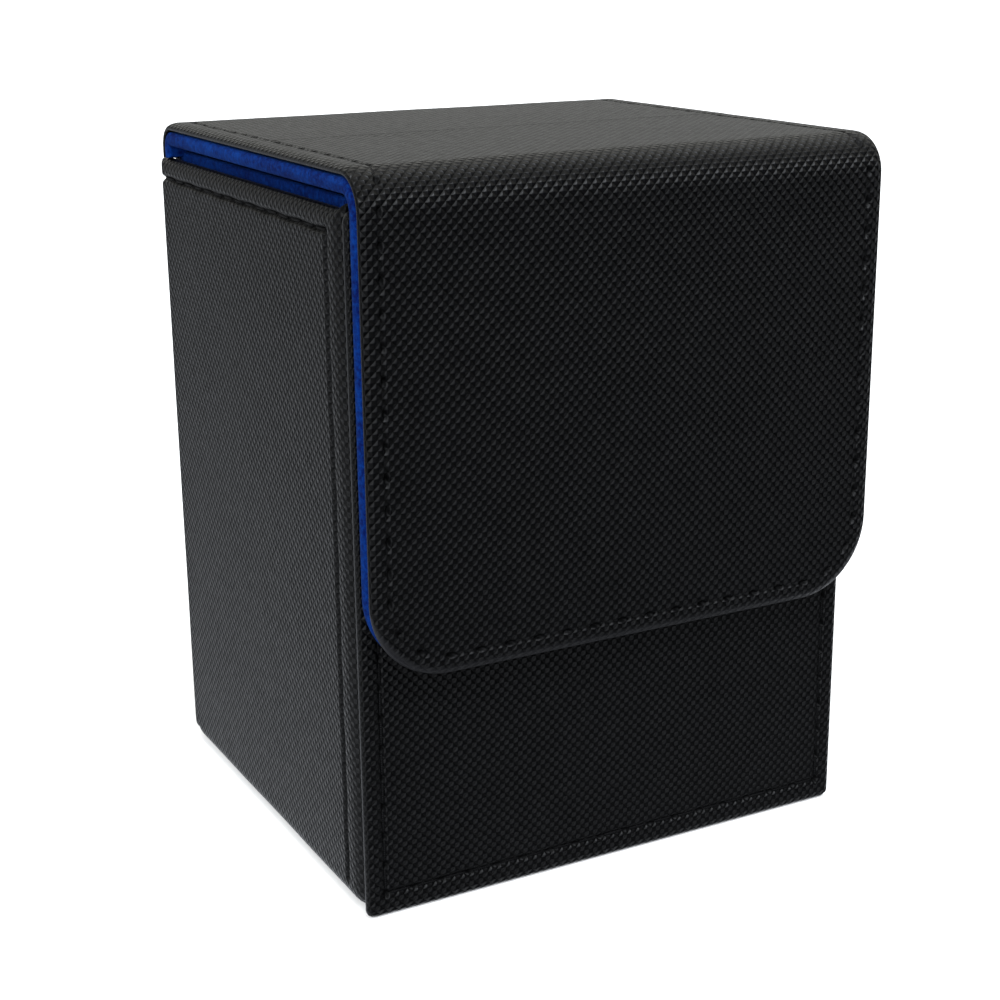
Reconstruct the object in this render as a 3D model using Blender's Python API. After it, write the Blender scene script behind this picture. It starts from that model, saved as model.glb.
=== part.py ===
"""Card deck box: a leather-covered box whose lid and front flap fold on leather hinges.

Units are metres and +Z is up. The flap faces -Y, left is -X, and the origin is the bottom
centre of the closed box. Each sub-part is one object. The pieces of the lid and of the flap
hang from empties that stand on the two fold axes.
"""

import math

import bmesh
import bpy
from mathutils import Vector

# Overall sizes of the closed box
BODY_WIDTH = 0.0768
BODY_SHIFT_X = -0.0008  # the body stands a little left of the wider lid
LID_WIDTH = 0.0782
LID_SHIFT_X = 0.0001
TOTAL_DEPTH = 0.0737  # face of the flap to face of the back
TOTAL_HEIGHT = 0.1000
RIM_Z = 0.0946  # top edge of the leather sides
FLAP_BOTTOM_Z = 0.0347

# Layers
GAP = 0.0003  # glue line or running gap between two pieces
LEATHER = 0.0008
PANEL_LEATHER = 0.0006
STRAP_LEATHER = 0.0011  # lid and flap
BOARD = 0.0010
PANEL_BOARD = 0.0008
LINER = 0.0010
LINING_PAD = 0.0020  # lining of the lid and the flap, with its board inside
LINING_SKIN = 0.0005
LINING_INSET = 0.0005  # from the leather's edge to the lining's edge

# Inner box
LINER_TOP_Z = 0.0955
BACK_LINER_TOP_Z = 0.0959

# Round edges and corners
SIDE_BOTTOM_R = 0.0025
REAR_BOTTOM_R = 0.0035
ROLLED_R = 0.0008
PANEL_EDGE_R = 0.0005
STRAP_EDGE_R = 0.00045
LINING_EDGE_R = 0.0004
LINER_EDGE_R = 0.0003
FLAP_CORNER_R = 0.0110
ARC_STEPS = 8

# Folds, measured on the outer face of the leather
REAR_FOLD_R = 0.0038
FRONT_FOLD_R = 0.0055
FOLD_AXIS_SHARE = math.pi / 4  # an axis here keeps the leather's length through the fold
TAIL_BOTTOM_Z = 0.0820  # end of the lid strip, tucked into the back panel
TAIL_SHOULDER_Z = RIM_Z + GAP

# Stitching
GROOVE_HALF = 0.0005
GROOVE_DEPTH = 0.0005
THREAD_HALF = 0.0002
THREAD_THICK = 0.0002
SIDE_STITCH_BELOW_RIM = 0.0030
SIDE_STITCH_FROM_FRONT = 0.0068
PANEL_STITCH_FROM_EDGE = 0.0027
PANEL_STITCH_FROM_BOTTOM = 0.0034
LID_STITCH_FROM_EDGE = 0.0036
FLAP_STITCH_FROM_EDGE = 0.0026
STITCH_END_MARGIN = 0.0008

# Magnets
MAGNET_R = 0.0050
MAGNET_X = 0.0180
MAGNET_ABOVE_FLAP_BOTTOM = 0.0140
MAGNET_SIDES = 24

# Places worked out from the sizes
BODY_LEFT = BODY_SHIFT_X - BODY_WIDTH / 2
BODY_RIGHT = BODY_SHIFT_X + BODY_WIDTH / 2
LID_LEFT = LID_SHIFT_X - LID_WIDTH / 2
LID_RIGHT = LID_SHIFT_X + LID_WIDTH / 2
FLAP_FACE_Y = -TOTAL_DEPTH / 2
BACK_FACE_Y = TOTAL_DEPTH / 2
STRAP_BACK = STRAP_LEATHER + GAP  # from the strap's outer face to its lining
FRONT_FACE_Y = FLAP_FACE_Y + STRAP_BACK + LINING_PAD + GAP
FRONT_PANEL_BACK_Y = FRONT_FACE_Y + PANEL_LEATHER + GAP + PANEL_BOARD
WRAP_FRONT_Y = FRONT_PANEL_BACK_Y + GAP
WALL = LEATHER + GAP + BOARD  # leather and board of a side or the bottom
LINER_OUT = WALL + GAP  # from a side's outer face to its liner
LINER_IN = LINER_OUT + LINER
REAR_FOLD_Y = BACK_FACE_Y - LEATHER - GAP - REAR_FOLD_R
REAR_FOLD_Z = TOTAL_HEIGHT - REAR_FOLD_R
FRONT_FOLD_Y = FLAP_FACE_Y + FRONT_FOLD_R
FRONT_FOLD_Z = TOTAL_HEIGHT - FRONT_FOLD_R
TAIL_OUT_Y = BACK_FACE_Y - LEATHER - GAP
TAIL_IN_Y = TAIL_OUT_Y - STRAP_LEATHER
BACK_BOARD_OUT_Y = TAIL_IN_Y - GAP
BACK_LINER_OUT_Y = BACK_BOARD_OUT_Y - BOARD - GAP
FRONT_LINER_FRONT_Y = WRAP_FRONT_Y + 2 * GAP
BACK_PANEL_LEFT = BODY_LEFT + WALL + GAP
BACK_PANEL_RIGHT = BODY_RIGHT - WALL - GAP
LID_LINING_TOP_Z = TOTAL_HEIGHT - STRAP_BACK
LID_LINING_BOTTOM_Z = LID_LINING_TOP_Z - LINING_PAD
FLAP_LINING_FRONT_Y = FLAP_FACE_Y + STRAP_BACK
FLAP_LINING_BACK_Y = FLAP_LINING_FRONT_Y + LINING_PAD
MAGNET_Z = FLAP_BOTTOM_Z + MAGNET_ABOVE_FLAP_BOTTOM
REACH = 0.0100  # how far a cutter runs past the face that it cuts

BLACK_LEATHER = ((0.012, 0.012, 0.014), 0.50, 0.0)
BLUE_CLOTH = ((0.004, 0.055, 0.290), 0.90, 0.0)
GREY_BOARD = ((0.300, 0.280, 0.240), 0.85, 0.0)
BLACK_THREAD = ((0.006, 0.006, 0.007), 0.60, 0.0)
STEEL = ((0.550, 0.550, 0.560), 0.30, 1.0)


# Helpers


def clear_scene():
    for obj in list(bpy.data.objects):
        bpy.data.objects.remove(obj)


def make_material(name, look):
    colour, roughness, metallic = look
    material = bpy.data.materials.new(name)
    material.use_nodes = True
    shader = material.node_tree.nodes["Principled BSDF"]
    shader.inputs["Base Color"].default_value = (*colour, 1.0)
    shader.inputs["Roughness"].default_value = roughness
    shader.inputs["Metallic"].default_value = metallic
    return material


def make_object(name, work, look=None):
    """An object from a bmesh: a sub-part if it has a look, and otherwise a hidden cutter."""
    bmesh.ops.recalc_face_normals(work, faces=work.faces)
    mesh = bpy.data.meshes.new(name)
    work.to_mesh(mesh)
    work.free()
    obj = bpy.data.objects.new(name, mesh)
    bpy.context.scene.collection.objects.link(obj)
    if look is None:
        obj.hide_render = True
        obj.display_type = "WIRE"
    else:
        mesh.materials.append(make_material(name, look))
    return obj


def box(name, low, high, look=None, edge_r=0.0):
    """A box between two corners, with all its edges rounded by edge_r."""
    work = bmesh.new()
    bmesh.ops.create_cube(work, size=1.0)
    for vert in work.verts:
        for axis in range(3):
            share = vert.co[axis] + 0.5
            vert.co[axis] = low[axis] + share * (high[axis] - low[axis])
    if edge_r > 0:
        bmesh.ops.bevel(work, geom=list(work.edges), offset=edge_r, segments=2, affect="EDGES", profile=0.5)
    return make_object(name, work, look)


def prism(name, outline, axis, start, end, look=None):
    """A closed outline, in the two directions left when axis is taken from XYZ, run along axis."""
    work = bmesh.new()
    ends = []
    for place in (start, end):
        ring = []
        for pair in outline:
            point = list(pair)
            point.insert("XYZ".index(axis), place)
            ring.append(work.verts.new(point))
        ends.append(ring)
    first, last = ends
    work.faces.new(first)
    work.faces.new(last)
    for i in range(len(outline)):
        j = (i + 1) % len(outline)
        work.faces.new((first[i], first[j], last[j], last[i]))
    return make_object(name, work, look)


def arc(centre, radius, start_deg, end_deg, steps=ARC_STEPS):
    points = []
    for i in range(steps + 1):
        angle = math.radians(start_deg + (end_deg - start_deg) * i / steps)
        points.append((centre[0] + radius * math.cos(angle), centre[1] + radius * math.sin(angle)))
    return points


def rounded_rectangle(low, high, radii):
    """An outline whose corners, from the lower left one round by the lower right, have these radii."""
    corners = [(low[0], low[1]), (high[0], low[1]), (high[0], high[1]), (low[0], high[1])]
    inward = [(1, 1), (-1, 1), (-1, -1), (1, -1)]
    outline = []
    for i, radius in enumerate(radii):
        if radius == 0:
            outline.append(corners[i])
            continue
        centre = (corners[i][0] + inward[i][0] * radius, corners[i][1] + inward[i][1] * radius)
        outline.extend(arc(centre, radius, 180 + 90 * i, 270 + 90 * i))
    return outline


def ribbon(path, half):
    """The outline of a band of this half width along an open path."""
    left, right = [], []
    for i, point in enumerate(path):
        here = Vector(point)
        before = Vector(path[max(i - 1, 0)])
        after = Vector(path[min(i + 1, len(path) - 1)])
        runs = [run.normalized() for run in (here - before, after - here) if run.length > 0]
        normals = [Vector((-run.y, run.x)) for run in runs]
        mitre = (normals[0] + normals[-1]).normalized()
        reach = half / mitre.dot(normals[0])
        left.append(tuple(here + mitre * reach))
        right.append(tuple(here - mitre * reach))
    return left + right[::-1]


def combine(obj, other, operation="DIFFERENCE"):
    modifier = obj.modifiers.new(operation.title(), "BOOLEAN")
    modifier.operation = operation
    modifier.object = other


def fold_outline(centre, outer_r, inner_r, start_deg, end_deg):
    return arc(centre, outer_r, start_deg, end_deg) + arc(centre, inner_r, end_deg, start_deg)


def stitch_open(name, leather, path, axis, face, inward):
    """A thread along an open path on a face, and its groove in the leather."""
    floor = face + inward * GROOVE_DEPTH
    combine(leather, prism(name + "_groove", ribbon(path, GROOVE_HALF), axis, face - inward * REACH, floor))
    return prism(name, ribbon(path, THREAD_HALF), axis, face, face + inward * THREAD_THICK, BLACK_THREAD)


def ring_between(name, low, high, half, place, end, look=None):
    """A rectangular band of this half width in the XZ plane, run along Y."""
    no_round = (0, 0, 0, 0)
    outside = rounded_rectangle((low[0] - half, low[1] - half), (high[0] + half, high[1] + half), no_round)
    inside = rounded_rectangle((low[0] + half, low[1] + half), (high[0] - half, high[1] - half), no_round)
    work = bmesh.new()
    rows = []
    for depth in (place, end):
        for outline in (outside, inside):
            rows.append([work.verts.new((x, depth, z)) for x, z in outline])
    near_out, near_in, far_out, far_in = rows
    for one, two in ((near_out, near_in), (near_in, far_in), (far_in, far_out), (far_out, near_out)):
        for i in range(4):
            j = (i + 1) % 4
            work.faces.new((one[i], one[j], two[j], two[i]))
    return make_object(name, work, look)


def stitch_ring(name, leather, low, high, face, inward):
    """A rectangular run of thread on a front or back panel, and its groove."""
    floor = face + inward * GROOVE_DEPTH
    combine(leather, ring_between(name + "_groove", low, high, GROOVE_HALF, face - inward * REACH, floor))
    return ring_between(name, low, high, THREAD_HALF, face, face + inward * THREAD_THICK, BLACK_THREAD)


def disc(name, x, y_front, y_back, radius, look=None):
    outline = arc((x, MAGNET_Z), radius, 0, 360 * (MAGNET_SIDES - 1) / MAGNET_SIDES, MAGNET_SIDES - 1)
    return prism(name, outline, "Y", y_front, y_back, look)


def seat_magnets(prefix, board, centre_x, y_front, y_back):
    """Two steel-cased magnets in round holes through a board."""
    magnets = []
    for side, sign in (("left", -1), ("right", 1)):
        x = centre_x + sign * MAGNET_X
        name = f"{prefix}_magnet_{side}"
        combine(board, disc(name + "_hole", x, y_front - REACH, y_back + REACH, MAGNET_R + GAP))
        magnets.append(disc(name, x, y_front, y_back, MAGNET_R, STEEL))
    return magnets


# The body


def make_wrap():
    """One strip of leather: left side, bottom and right side, turned over at its free edges."""
    front_outline = rounded_rectangle(
        (BODY_LEFT, 0), (BODY_RIGHT, RIM_Z), (SIDE_BOTTOM_R, SIDE_BOTTOM_R, ROLLED_R, ROLLED_R)
    )
    side_outline = rounded_rectangle(
        (WRAP_FRONT_Y, 0), (BACK_FACE_Y, RIM_Z), (ROLLED_R, REAR_BOTTOM_R, ROLLED_R, 0)
    )
    plan_outline = rounded_rectangle((BODY_LEFT, WRAP_FRONT_Y), (BODY_RIGHT, BACK_FACE_Y), (ROLLED_R,) * 4)
    wrap = prism("wrap_leather", front_outline, "Y", WRAP_FRONT_Y, BACK_FACE_Y, BLACK_LEATHER)
    side_guide = prism("wrap_side_guide", side_outline, "X", BODY_LEFT - REACH, BODY_RIGHT + REACH)
    combine(wrap, side_guide, "INTERSECT")
    combine(wrap, prism("wrap_plan_guide", plan_outline, "Z", -REACH, RIM_Z + REACH), "INTERSECT")
    board_room = box(
        "wrap_board_room",
        (BODY_LEFT + LEATHER, WRAP_FRONT_Y + LEATHER, LEATHER),
        (BODY_RIGHT - LEATHER, BACK_FACE_Y - LEATHER, RIM_Z - LEATHER),
        edge_r=LEATHER,
    )
    combine(wrap, board_room)
    bay_low = (BODY_LEFT + WALL, WRAP_FRONT_Y - REACH, WALL)
    bay_high = (BODY_RIGHT - WALL, BACK_FACE_Y + REACH, RIM_Z + REACH)
    combine(wrap, box("wrap_bay", bay_low, bay_high))
    return wrap


def make_side_stitching(wrap):
    """Each side is sewn along its rim and then down beside its front edge."""
    stitch_y = FRONT_FACE_Y + SIDE_STITCH_FROM_FRONT
    stitch_z = RIM_Z - SIDE_STITCH_BELOW_RIM
    path = [
        (BACK_FACE_Y - STITCH_END_MARGIN - ROLLED_R, stitch_z),
        (stitch_y, stitch_z),
        (stitch_y, SIDE_BOTTOM_R + STITCH_END_MARGIN),
    ]
    stitch_open("left_stitching", wrap, path, "X", BODY_LEFT, 1)
    stitch_open("right_stitching", wrap, path, "X", BODY_RIGHT, -1)


def make_body_boards():
    inside = LEATHER + GAP
    y_low = WRAP_FRONT_Y + inside
    y_high = BACK_FACE_Y - inside
    z_low = WALL + GAP
    z_high = RIM_Z - inside
    box("left_board", (BODY_LEFT + inside, y_low, z_low), (BODY_LEFT + WALL, y_high, z_high), GREY_BOARD)
    box("right_board", (BODY_RIGHT - WALL, y_low, z_low), (BODY_RIGHT - inside, y_high, z_high), GREY_BOARD)
    bottom_low = (BODY_LEFT + 2 * inside, y_low + LEATHER, inside)
    bottom_high = (BODY_RIGHT - 2 * inside, y_high - LEATHER, WALL)
    box("bottom_board", bottom_low, bottom_high, GREY_BOARD)


def make_front_panel():
    """A board in leather whose edges are turned over and sewn all round, with two magnets."""
    leather = box(
        "front_leather",
        (BODY_LEFT, FRONT_FACE_Y, 0),
        (BODY_RIGHT, FRONT_PANEL_BACK_Y, RIM_Z),
        BLACK_LEATHER,
        PANEL_EDGE_R,
    )
    room_low = (BODY_LEFT + PANEL_LEATHER, FRONT_FACE_Y + PANEL_LEATHER, PANEL_LEATHER)
    room_high = (BODY_RIGHT - PANEL_LEATHER, FRONT_PANEL_BACK_Y + REACH, RIM_Z - PANEL_LEATHER)
    combine(leather, box("front_board_room", room_low, room_high))
    inside = PANEL_LEATHER + GAP
    board_low = (BODY_LEFT + inside, FRONT_FACE_Y + inside, inside)
    board_high = (BODY_RIGHT - inside, FRONT_PANEL_BACK_Y, RIM_Z - inside)
    board = box("front_board", board_low, board_high, GREY_BOARD)
    seat_magnets("front", board, BODY_SHIFT_X, FRONT_FACE_Y + inside, FRONT_PANEL_BACK_Y)
    run_low = (BODY_LEFT + PANEL_STITCH_FROM_EDGE, PANEL_STITCH_FROM_BOTTOM)
    run_high = (BODY_RIGHT - PANEL_STITCH_FROM_EDGE, RIM_Z - PANEL_STITCH_FROM_EDGE)
    stitch_ring("front_stitching", leather, run_low, run_high, FRONT_FACE_Y, 1)


def make_back_panel():
    """The back stands between the sides, and is open at its top for the lid's strip."""
    z_low = WALL + GAP
    leather = box(
        "back_leather",
        (BACK_PANEL_LEFT, BACK_LINER_OUT_Y + GAP, z_low),
        (BACK_PANEL_RIGHT, BACK_FACE_Y, RIM_Z),
        BLACK_LEATHER,
        PANEL_EDGE_R,
    )
    room_low = (BACK_PANEL_LEFT + LEATHER, BACK_LINER_OUT_Y - REACH, z_low + LEATHER)
    room_high = (BACK_PANEL_RIGHT - LEATHER, BACK_FACE_Y - LEATHER, RIM_Z + REACH)
    combine(leather, box("back_board_room", room_low, room_high))
    inside = LEATHER + GAP
    board_low = (BACK_PANEL_LEFT + inside, BACK_LINER_OUT_Y + GAP, z_low + inside)
    board_high = (BACK_PANEL_RIGHT - inside, BACK_BOARD_OUT_Y, RIM_Z - inside)
    box("back_board", board_low, board_high, GREY_BOARD)
    run_low = (BACK_PANEL_LEFT + PANEL_STITCH_FROM_EDGE, z_low + PANEL_STITCH_FROM_EDGE)
    run_high = (BACK_PANEL_RIGHT - PANEL_STITCH_FROM_EDGE, RIM_Z - SIDE_STITCH_BELOW_RIM)
    stitch_ring("back_stitching", leather, run_low, run_high, BACK_FACE_Y, -1)


def make_liner():
    """Five cloth-covered boards that line the card bay and stand above the leather rim."""
    left_in = BODY_LEFT + LINER_IN
    right_in = BODY_RIGHT - LINER_IN
    left_low = (BODY_LEFT + LINER_OUT, FRONT_LINER_FRONT_Y, LINER_OUT)
    left_high = (left_in, BACK_LINER_OUT_Y, LINER_TOP_Z)
    box("left_liner", left_low, left_high, BLUE_CLOTH, LINER_EDGE_R)
    right_low = (right_in, FRONT_LINER_FRONT_Y, LINER_OUT)
    right_high = (BODY_RIGHT - LINER_OUT, BACK_LINER_OUT_Y, LINER_TOP_Z)
    box("right_liner", right_low, right_high, BLUE_CLOTH, LINER_EDGE_R)
    front_in_y = FRONT_LINER_FRONT_Y + LINER
    front_low = (left_in + GAP, FRONT_LINER_FRONT_Y, LINER_OUT)
    front_high = (right_in - GAP, front_in_y, LINER_TOP_Z)
    box("front_liner", front_low, front_high, BLUE_CLOTH, LINER_EDGE_R)
    back_in_y = BACK_LINER_OUT_Y - LINER
    back_low = (left_in + GAP, back_in_y, LINER_OUT)
    back_high = (right_in - GAP, BACK_LINER_OUT_Y, BACK_LINER_TOP_Z)
    box("back_liner", back_low, back_high, BLUE_CLOTH, LINER_EDGE_R)
    floor_low = (left_in + GAP, front_in_y + GAP, LINER_OUT)
    floor_high = (right_in - GAP, back_in_y - GAP, LINER_OUT + LINER)
    box("floor_liner", floor_low, floor_high, BLUE_CLOTH)


# The lid and the flap


def make_rear_fold():
    """The lid's strip: it comes up out of the back panel and bends forward into the lid."""
    centre = (REAR_FOLD_Y, REAR_FOLD_Z)
    outline = [(TAIL_IN_Y, TAIL_BOTTOM_Z), (TAIL_OUT_Y, TAIL_BOTTOM_Z)]
    outline += fold_outline(centre, REAR_FOLD_R, REAR_FOLD_R - STRAP_LEATHER, 0, 90)
    leather = prism("rear_fold_leather", outline, "X", LID_LEFT, LID_RIGHT, BLACK_LEATHER)
    tail_left = BACK_PANEL_LEFT + LEATHER + GAP
    tail_right = BACK_PANEL_RIGHT - LEATHER - GAP
    low_z = TAIL_BOTTOM_Z - REACH
    left_room = ((LID_LEFT - REACH, REAR_FOLD_Y, low_z), (tail_left, BACK_FACE_Y, TAIL_SHOULDER_Z))
    right_room = ((tail_right, REAR_FOLD_Y, low_z), (LID_RIGHT + REACH, BACK_FACE_Y, TAIL_SHOULDER_Z))
    combine(leather, box("tail_left_room", *left_room))
    combine(leather, box("tail_right_room", *right_room))
    lining_r = REAR_FOLD_R - STRAP_BACK
    lining = fold_outline(centre, lining_r, lining_r - LINING_PAD, 0, 90)
    lining_left = LID_LEFT + LINING_INSET
    lining_right = LID_RIGHT - LINING_INSET
    prism("rear_fold_lining", lining, "X", lining_left, lining_right, BLUE_CLOTH)


def make_front_fold():
    """Where the lid bends down into the flap."""
    centre = (FRONT_FOLD_Y, FRONT_FOLD_Z)
    leather = fold_outline(centre, FRONT_FOLD_R, FRONT_FOLD_R - STRAP_LEATHER, 90, 180)
    lining_r = FRONT_FOLD_R - STRAP_BACK
    lining = fold_outline(centre, lining_r, lining_r - LINING_PAD, 90, 180)
    lining_left = LID_LEFT + LINING_INSET
    lining_right = LID_RIGHT - LINING_INSET
    return [
        prism("front_fold_leather", leather, "X", LID_LEFT, LID_RIGHT, BLACK_LEATHER),
        prism("front_fold_lining", lining, "X", lining_left, lining_right, BLUE_CLOTH),
    ]


def make_lid():
    y_low = FRONT_FOLD_Y + GAP
    y_high = REAR_FOLD_Y - GAP
    leather = box(
        "lid_leather",
        (LID_LEFT, y_low, TOTAL_HEIGHT - STRAP_LEATHER),
        (LID_RIGHT, y_high, TOTAL_HEIGHT),
        BLACK_LEATHER,
        STRAP_EDGE_R,
    )
    lining_low = (LID_LEFT + LINING_INSET, y_low, LID_LINING_BOTTOM_Z)
    lining_high = (LID_RIGHT - LINING_INSET, y_high, LID_LINING_TOP_Z)
    lining = box("lid_lining", lining_low, lining_high, BLUE_CLOTH, LINING_EDGE_R)
    room = LINING_INSET + LINING_SKIN
    room_low = (LID_LEFT + room, y_low + LINING_SKIN, LID_LINING_BOTTOM_Z + LINING_SKIN)
    room_high = (LID_RIGHT - room, y_high - LINING_SKIN, LID_LINING_TOP_Z + REACH)
    combine(lining, box("lid_board_room", room_low, room_high))
    board_low = tuple(edge + GAP for edge in room_low)
    board_high = (room_high[0] - GAP, room_high[1] - GAP, LID_LINING_TOP_Z)
    board = box("lid_board", board_low, board_high, GREY_BOARD)
    pieces = [leather, lining, board]
    for side, x in (("left", LID_LEFT + LID_STITCH_FROM_EDGE), ("right", LID_RIGHT - LID_STITCH_FROM_EDGE)):
        path = [(x, y_low + STITCH_END_MARGIN), (x, y_high - STITCH_END_MARGIN)]
        pieces.append(stitch_open(f"lid_stitching_{side}", leather, path, "Z", TOTAL_HEIGHT, -1))
    return pieces


def flap_outline(inset):
    """The flap's outline: square at the fold and round at its lower corners."""
    corner_r = FLAP_CORNER_R - inset
    low = (LID_LEFT + inset, FLAP_BOTTOM_Z + inset)
    high = (LID_RIGHT - inset, FRONT_FOLD_Z - GAP)
    return rounded_rectangle(low, high, (corner_r, corner_r, 0, 0))


def flap_stitch_path():
    left = LID_LEFT + FLAP_STITCH_FROM_EDGE
    right = LID_RIGHT - FLAP_STITCH_FROM_EDGE
    bottom = FLAP_BOTTOM_Z + FLAP_STITCH_FROM_EDGE
    top = FRONT_FOLD_Z - GAP - STITCH_END_MARGIN
    corner_r = FLAP_CORNER_R - FLAP_STITCH_FROM_EDGE
    path = [(left, top)]
    path += arc((left + corner_r, bottom + corner_r), corner_r, 180, 270)
    path += arc((right - corner_r, bottom + corner_r), corner_r, 270, 360)
    return path + [(right, top)]


def make_flap():
    leather_back = FLAP_FACE_Y + STRAP_LEATHER
    leather = prism("flap_leather", flap_outline(0), "Y", FLAP_FACE_Y, leather_back, BLACK_LEATHER)
    lining_outline = flap_outline(LINING_INSET)
    lining = prism("flap_lining", lining_outline, "Y", FLAP_LINING_FRONT_Y, FLAP_LINING_BACK_Y, BLUE_CLOTH)
    room_inset = LINING_INSET + LINING_SKIN
    board_back = FLAP_LINING_BACK_Y - LINING_SKIN
    top = FRONT_FOLD_Z - GAP - LINING_SKIN
    room_r = FLAP_CORNER_R - room_inset
    room_outline = rounded_rectangle(
        (LID_LEFT + room_inset, FLAP_BOTTOM_Z + room_inset), (LID_RIGHT - room_inset, top), (room_r, room_r, 0, 0)
    )
    room = prism("flap_board_room", room_outline, "Y", FLAP_LINING_FRONT_Y - REACH, board_back)
    combine(lining, room)
    board_inset = room_inset + GAP
    board_r = FLAP_CORNER_R - board_inset
    board_outline = rounded_rectangle(
        (LID_LEFT + board_inset, FLAP_BOTTOM_Z + board_inset),
        (LID_RIGHT - board_inset, top - GAP),
        (board_r, board_r, 0, 0),
    )
    board = prism("flap_board", board_outline, "Y", FLAP_LINING_FRONT_Y, board_back - GAP, GREY_BOARD)
    magnets = seat_magnets("flap", board, BODY_SHIFT_X, FLAP_LINING_FRONT_Y, board_back - GAP)
    stitching = stitch_open("flap_stitching", leather, flap_stitch_path(), "Y", FLAP_FACE_Y, 1)
    return [leather, lining, board, stitching] + magnets


def hang(pieces, name, y, z):
    """Parents the pieces to an empty on their fold axis, and leaves them where they are."""
    pivot = bpy.data.objects.new(name, None)
    pivot.location = (LID_SHIFT_X, y, z)
    bpy.context.scene.collection.objects.link(pivot)
    bpy.context.view_layer.update()
    for piece in pieces:
        piece.parent = pivot
        piece.matrix_parent_inverse = pivot.matrix_world.inverted()
    return pivot


def main():
    clear_scene()
    wrap = make_wrap()
    make_side_stitching(wrap)
    make_body_boards()
    make_front_panel()
    make_back_panel()
    make_liner()
    make_rear_fold()
    rear_out = REAR_FOLD_R * FOLD_AXIS_SHARE
    front_out = FRONT_FOLD_R * FOLD_AXIS_SHARE
    lid = make_lid()
    lid_pivot = hang(lid, "lid_pivot", REAR_FOLD_Y + rear_out, REAR_FOLD_Z + rear_out)
    flap = make_flap() + make_front_fold()
    flap_pivot = hang(flap, "flap_pivot", FRONT_FOLD_Y - front_out, FRONT_FOLD_Z + front_out)
    flap_pivot.parent = lid_pivot
    flap_pivot.matrix_parent_inverse = lid_pivot.matrix_world.inverted()


main()
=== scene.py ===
"""The looks of the card deck box: embossed leather panels and straps, blue cloth linings and sewn seams.

Every length is in metres, in the frame's own coordinates. Each leather or cloth panel is a sheet: a
flat cut, measured across and along, that is laid along a path of straight runs and arcs. The sheet's
flat coordinates are its UV map, so the embossing runs on round the folds and over the rolled edges.
"""

import math
import random
from collections import namedtuple

import bmesh
import bpy
import numpy as np
from mathutils import Matrix, Vector


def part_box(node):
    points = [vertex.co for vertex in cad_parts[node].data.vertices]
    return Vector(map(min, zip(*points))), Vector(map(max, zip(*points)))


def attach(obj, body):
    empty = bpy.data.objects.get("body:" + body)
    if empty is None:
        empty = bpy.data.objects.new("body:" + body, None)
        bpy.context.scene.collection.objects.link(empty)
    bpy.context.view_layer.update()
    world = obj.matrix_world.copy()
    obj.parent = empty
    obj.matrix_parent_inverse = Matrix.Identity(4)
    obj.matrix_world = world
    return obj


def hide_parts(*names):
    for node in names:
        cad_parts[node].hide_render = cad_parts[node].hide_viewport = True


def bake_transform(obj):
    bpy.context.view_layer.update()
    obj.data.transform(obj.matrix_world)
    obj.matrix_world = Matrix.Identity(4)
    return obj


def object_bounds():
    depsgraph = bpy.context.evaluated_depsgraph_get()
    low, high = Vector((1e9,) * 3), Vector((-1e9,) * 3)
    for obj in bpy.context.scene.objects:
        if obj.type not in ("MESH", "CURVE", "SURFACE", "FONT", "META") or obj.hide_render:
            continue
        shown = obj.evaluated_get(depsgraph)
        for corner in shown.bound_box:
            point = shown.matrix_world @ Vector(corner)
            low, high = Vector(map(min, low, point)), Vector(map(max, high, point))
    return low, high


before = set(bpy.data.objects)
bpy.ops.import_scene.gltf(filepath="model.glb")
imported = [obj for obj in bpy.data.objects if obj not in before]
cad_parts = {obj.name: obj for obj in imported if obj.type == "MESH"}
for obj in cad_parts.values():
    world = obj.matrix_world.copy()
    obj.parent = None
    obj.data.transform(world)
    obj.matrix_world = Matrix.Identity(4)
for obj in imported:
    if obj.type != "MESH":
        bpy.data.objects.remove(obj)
CAD_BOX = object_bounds()

MM = 0.001
TINY = 0.005 * MM
ALMOST_ZERO = 1e-12

# Headings of a path
DOWN = -math.pi / 2
UP = math.pi / 2
RIGHT = 0.0
LEFT = math.pi
QUARTER = math.pi / 2

# Fold and corner radii, on the outer face
SIDE_BOTTOM_R = 2.5 * MM
REAR_BOTTOM_R = 3.5 * MM
FLAP_CORNER_R = 11.0 * MM
PANEL_CORNER_R = 1.3 * MM
LINER_CORNER_R = 0.8 * MM
HORN_LENGTH = 3.0 * MM
HORN_RISE = 0.8 * MM

# Thicknesses, gaps and unevenness
THINNEST = 0.02 * MM
WALL_TO_LINER = 0.3 * MM
LINER_TO_LID = 0.92 * MM
LINER_OVER_RIM = 0.10 * MM
LINER_TO_STRAP = 0.1 * MM
LINING_OVER_RIM = 0.15 * MM
LINING_PROUD = 0.10 * MM
LID_OVERLAP = 2 * MM  # how far past its end a part of the strap has needle holes of the other part
FLOOR_GAP = 0.05 * MM
TAIL_INSET = 1.1 * MM
SHOULDER_BELOW = 0.35 * MM
SHOULDER_ABOVE = 0.05 * MM
WRAP_UNEVENNESS = 0.07 * MM
PANEL_UNEVENNESS = 0.06 * MM
STRAP_UNEVENNESS = 0.05 * MM
REAR_BEND = 1.5 * MM  # how long the bend is at the rear fold

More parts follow.
